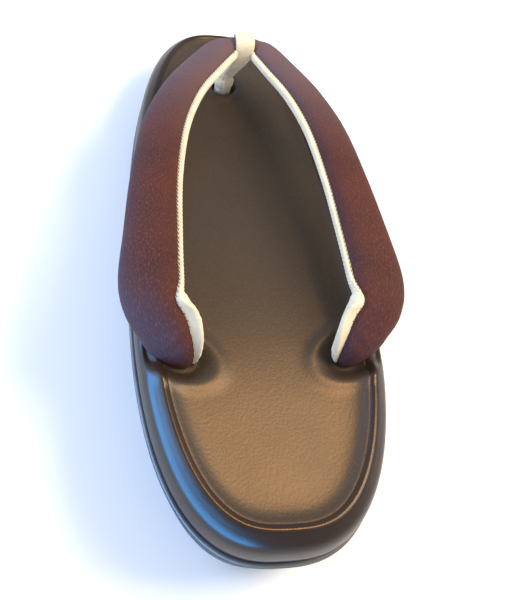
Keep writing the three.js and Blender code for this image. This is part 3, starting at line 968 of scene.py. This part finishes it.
class ZORI_OT_thong(bpy.types.Operator):
    """Build the thong: the band looped over the straps and the stem it comes up from"""

    bl_idname = "zori.thong"
    bl_label = "Thong"

    def execute(self, context):
        material = brushed_cotton(context.scene.zori_colours, "ribbed cotton band", (1.0, 0.35, 1.0))
        rings, around = 240, 36
        t = np.linspace(0, len(LOOP), rings, endpoint=False)[:, None]
        angle = np.linspace(0, 2 * np.pi, around, endpoint=False)[None, :]
        t, angle = np.broadcast_arrays(t, angle)
        row = between(LOOP, t, closed=True)
        ahead = between(LOOP, (t + NUDGE) % len(LOOP), closed=True)
        zero = np.zeros_like(t)
        along = unit(np.stack([zero, ahead[..., 0] - row[..., 0], ahead[..., 1] - row[..., 1]], -1))
        outward = np.stack([zero, -along[..., 2], along[..., 1]], -1)
        # The band is flat, with square edges that are a little thicker than its middle.
        u = signed_power(np.cos(angle), 0.5) * row[..., 2] / 2
        v = signed_power(np.sin(angle), 0.8) * row[..., 3] / 2 * (1 + 0.25 * np.cos(angle) ** 2)
        lean = SWAY * smooth((row[..., 1] - LOOP_LEAN_BOTTOM) / (LOOP_LEAN_TOP - LOOP_LEAN_BOTTOM))
        centre = np.stack([u + lean, row[..., 0], row[..., 1]], -1)
        band = (centre + outward * v[..., None])[:, ::-1]
        at = np.arange(rings * around).reshape(rings, around)
        right, below = np.roll(at, -1, axis=1), np.roll(at, -1, axis=0)
        faces = np.stack([at, right, np.roll(below, -1, axis=1), below], -1).reshape(-1, 4).tolist()
        surface = np.stack([t * LOOP_ROW_RUN, u, zero], -1)[:, ::-1].reshape(-1, 3)
        band = add_piece("thong_band", band.reshape(-1, 3), faces, material, surface=surface)
        place(band, "cream_cord", "thong")

        profile = sampled(STEM_PROFILE, 5)
        turn = np.linspace(0, 2 * np.pi, 48, endpoint=False)[None, :]
        radius = profile[:, :1] * (1 + STEM_RIB_DEPTH * np.cos(STEM_RIBS * turn))
        height = np.broadcast_to(profile[:, 1:], radius.shape)
        stem = np.stack([radius * np.cos(turn), STEM_Y + radius * np.sin(turn), height], -1)
        points, faces = tube(stem)
        material = brushed_cotton(context.scene.zori_colours, "bleached cotton collar", (1.0, 1.0, 1.0))
        surface = cloth(height, turn * 4 * MM)
        place(add_piece("thong_stem", points, faces, material, surface=surface), "cream_cord", "thong")
        return {"FINISHED"}


class ZORI_OT_stage(bpy.types.Operator):
    """Lay the pale floor and set the lights and the camera"""

    bl_idname = "zori.stage"
    bl_label = "Floor, lights and camera"

    def execute(self, context):
        scene = context.scene
        material, tree = new_material("matt white paper")
        place_at = add_node(tree, "TexCoord").outputs["Object"]
        fibre = noise(tree, place_at, 3, 4)
        bump = bumps(tree, fibre, 0.03, 0.05)
        finish_material(tree, {
            "Base Color": linear("#f4f3f1"), "Roughness": 0.95, "Specular IOR Level": 0.1,
            "Normal": bump,
        })
        mesh = bpy.data.meshes.new("floor")
        signs = ((-1, -1), (1, -1), (1, 1), (-1, 1))
        corners = [(FLOOR_HALF * i, FLOOR_HALF * j, GROUND) for i, j in signs]
        mesh.from_pydata(corners, [], [(0, 1, 2, 3)])
        mesh.materials.append(material)
        floor = bpy.data.objects.new("floor", mesh)
        scene.collection.objects.link(floor)

        world = bpy.data.worlds.new("soft white room")
        world.use_nodes = True
        world.node_tree.nodes["Background"].inputs["Color"].default_value = linear("#f2f4f8")
        world.node_tree.nodes["Background"].inputs["Strength"].default_value = ROOM_STRENGTH
        scene.world = world
        scene.view_settings.view_transform = "Standard"

        for name, spot, aim, size, power, tint, lights_matt in LIGHTS:
            light = bpy.data.lights.new(name, "AREA")
            light.shape = "RECTANGLE"
            light.size, light.size_y = size
            light.energy = power
            light.color = linear(tint)[:3]
            lamp = bpy.data.objects.new(name, light)
            lamp.location = spot
            lamp.rotation_euler = (Vector(aim) - Vector(spot)).to_track_quat("-Z", "Y").to_euler()
            lamp.visible_diffuse = lights_matt
            lamp.visible_camera = False
            scene.collection.objects.link(lamp)

        camera = bpy.data.objects.new("camera", bpy.data.cameras.new("camera"))
        camera.data.lens = CAMERA_LENS
        camera.data.shift_x, camera.data.shift_y = CAMERA_SHIFT
        camera.data.clip_start = 0.01
        level, down = np.cos(CAMERA_BELOW), np.sin(CAMERA_BELOW)
        ahead = Vector((np.sin(CAMERA_HEADING) * level, np.cos(CAMERA_HEADING) * level, -down))
        turned = ahead.to_track_quat("-Z", "Y").to_matrix().to_4x4()
        rolled = Euler((0, 0, CAMERA_ROLL)).to_matrix().to_4x4()
        camera.matrix_world = Matrix.Translation(CAMERA_PLACE) @ turned @ rolled
        scene.collection.objects.link(camera)
        scene.camera = camera
        return {"FINISHED"}


OPERATORS = (
    ZORI_OT_outsole, ZORI_OT_midsole, ZORI_OT_insole, ZORI_OT_straps, ZORI_OT_lining, ZORI_OT_stitches,
    ZORI_OT_thong, ZORI_OT_stage,
)


class ZORI_PT_panel(bpy.types.Panel):
    """The sandal's sizes, colours and building steps"""

    bl_idname = "ZORI_PT_panel"
    bl_label = "Zori sandal"
    bl_space_type = "VIEW_3D"
    bl_region_type = "UI"
    bl_category = "Zori"

    def draw(self, context):
        for group in (context.scene.zori_sole, context.scene.zori_straps, context.scene.zori_colours):
            box = self.layout.box()
            for name in group.bl_rna.properties.keys():
                if name not in ("rna_type", "name"):
                    box.prop(group, name)
        for operator in OPERATORS:
            self.layout.operator(operator.bl_idname)


CLASSES = (ZoriSole, ZoriStraps, ZoriColours, *OPERATORS, ZORI_PT_panel)


def register():
    """Adds the classes and the sandal's settings to Blender."""
    for kind in CLASSES:
        bpy.utils.register_class(kind)
    bpy.types.Scene.zori_sole = PointerProperty(type=ZoriSole)
    bpy.types.Scene.zori_straps = PointerProperty(type=ZoriStraps)
    bpy.types.Scene.zori_colours = PointerProperty(type=ZoriColours)


def unregister():
    """Takes them out again, in reverse order."""
    del bpy.types.Scene.zori_colours
    del bpy.types.Scene.zori_straps
    del bpy.types.Scene.zori_sole
    for kind in reversed(CLASSES):
        bpy.utils.unregister_class(kind)


def main():
    register()
    bpy.ops.zori.outsole()
    bpy.ops.zori.midsole()
    bpy.ops.zori.insole()
    bpy.ops.zori.straps()
    bpy.ops.zori.lining()
    bpy.ops.zori.stitches()
    bpy.ops.zori.thong()
    bpy.ops.zori.stage()


if __name__ == "__main__":
    main()
